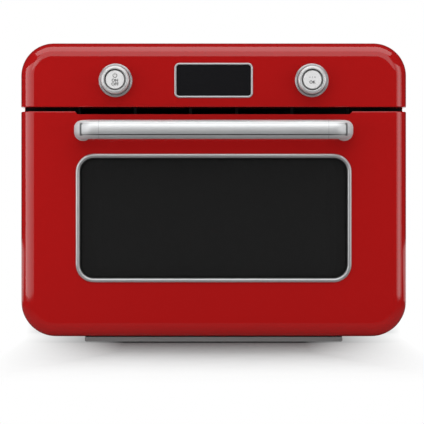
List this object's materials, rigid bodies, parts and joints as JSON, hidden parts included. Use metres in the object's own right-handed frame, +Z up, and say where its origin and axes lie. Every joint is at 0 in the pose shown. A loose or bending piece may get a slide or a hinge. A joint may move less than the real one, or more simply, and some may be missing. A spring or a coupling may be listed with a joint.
{
  "type": "countertop steam oven",
  "caption": "Countertop combination steam oven with rounded enamelled body, drop-down glazed door with bar handle, rotary knobs with push buttons, display, lift-out water tank and drip tray.",
  "frame": {"origin": "on the counter, in the middle of the footprint measured with the handle", "axes": "+Z up, -Y out of the door, +X to the right seen from the front"},
  "size_m": [0.494, 0.478, 0.3835],
  "materials": {
    "red_enamel": "gloss red paint",
    "zinc_sheet": "galvanised sheet",
    "black_enamel": "satin black enamel",
    "grille_black": "matt black moulding",
    "cavity_steel": "brushed stainless steel",
    "chrome_trim": "satin chrome",
    "handle_metal": "satin chrome",
    "knob_metal": "satin",
    "button_plastic": "satin light grey",
    "display_glass": "black glass",
    "door_glass": "dark tinted glass",
    "clear_glass": "clear glass",
    "black_seal": "silicone",
    "grey_plastic": "grey moulding",
    "dark_plastic": "dark moulding",
    "tank_plastic": "smoky clear plastic",
    "board_green": "circuit board",
    "blanket": "mineral wool",
    "heater_steel": "oxidised steel tube",
    "steel_screws": "bright steel",
    "hinge_steel": "bright steel",
    "rack_wire": "bright wire",
    "cast_aluminium": "as cast",
    "motor_steel": "zinc plated",
    "silicone_pipe": "translucent silicone",
    "lamp_glass": "frosted glass",
    "foot_rubber": "black rubber"
  },
  "bodies": {
    "root": {"outer_casing": "red_enamel", "base_pan": "zinc_sheet", "rear_panel": "black_enamel", "fixing_screws": "steel_screws", "cord_gland": "dark_plastic", "feet": "foot_rubber", "front_frame": "black_enamel", "vent_grille": "grille_black", "control_fascia": "red_enamel", "display_trim": "chrome_trim", "display_glass": "display_glass", "control_board": "board_green", "knob_bezels": "chrome_trim", "encoders": "dark_plastic", "left_hinge_bracket": "hinge_steel", "right_hinge_bracket": "hinge_steel", "hinge_springs": "hinge_steel", "cavity": "cavity_steel", "insulation_blanket": "blanket", "cavity_gasket": "black_seal", "left_side_rack": "rack_wire", "right_side_rack": "rack_wire", "fan_cover": "cavity_steel", "fan_motor": "motor_steel", "ring_heater": "heater_steel", "grill_element": "heater_steel", "cavity_lamp": "lamp_glass", "temperature_probe": "steel_screws", "steam_nozzle": "steel_screws", "boiler": "cast_aluminium", "water_pump": "dark_plastic", "water_and_steam_pipes": "silicone_pipe", "tank_cradle": "dark_plastic", "cooling_duct": "zinc_sheet", "blower_housing": "zinc_sheet", "blower_motor": "motor_steel", "board_bracket": "zinc_sheet", "power_board": "board_green"},
    "door": {"door_skin": "red_enamel", "window_trim": "chrome_trim", "window_gasket": "black_seal", "outer_glass": "door_glass", "inner_glass": "clear_glass", "door_inner_panel": "black_enamel", "handle_bar": "handle_metal", "left_handle_end": "handle_metal", "right_handle_end": "handle_metal", "handle_screws": "steel_screws", "left_hinge_arm": "hinge_steel", "right_hinge_arm": "hinge_steel"},
    "left_knob": {"left_knob_ring": "knob_metal"},
    "right_knob": {"right_knob_ring": "knob_metal"},
    "left_push_button": {"left_button": "button_plastic"},
    "right_push_button": {"right_button": "button_plastic"},
    "fan": {"fan_impeller": "cavity_steel"},
    "blower": {"blower_rotor": "cast_aluminium"},
    "tank": {"water_tank": "tank_plastic", "tank_lid": "dark_plastic"},
    "tray": {"drip_tray": "grey_plastic"}
  },
  "joints": [
    {"name": "door_hinge", "type": "hinge", "parent": "root", "child": "door", "pos_m": [0, -0.179, 0.0255], "axis": [1, 0, 0], "range_deg": [0, 80], "stiffness_Nm_per_rad": 1, "springref_deg": -68.75},
    {"name": "left_knob_turn", "type": "hinge", "parent": "root", "child": "left_knob", "pos_m": [-0.125, -0.197, 0.3347], "axis": [0, 1, 0], "continuous": true},
    {"name": "right_knob_turn", "type": "hinge", "parent": "root", "child": "right_knob", "pos_m": [0.125, -0.197, 0.3347], "axis": [0, 1, 0], "continuous": true},
    {"name": "left_button_press", "type": "slide", "parent": "root", "child": "left_push_button", "axis": [0, 1, 0], "range_m": [0, 0.0015], "stiffness_N_per_m": 300},
    {"name": "right_button_press", "type": "slide", "parent": "root", "child": "right_push_button", "axis": [0, 1, 0], "range_m": [0, 0.0015], "stiffness_N_per_m": 300},
    {"name": "fan_spin", "type": "hinge", "parent": "root", "child": "fan", "pos_m": [0, 0.1887, 0.1655], "axis": [0, 1, 0], "continuous": true},
    {"name": "blower_spin", "type": "hinge", "parent": "root", "child": "blower", "pos_m": [-0.112, 0.071, 0.3183], "axis": [1, 0, 0], "continuous": true},
    {"name": "tank_lift", "type": "slide", "parent": "root", "child": "tank", "axis": [0, 0, 1], "range_m": [0, 0.09]},
    {"name": "tray_slide", "type": "slide", "parent": "root", "child": "tray", "axis": [0, -1, 0], "range_m": [0, 0.05]}
  ]
}
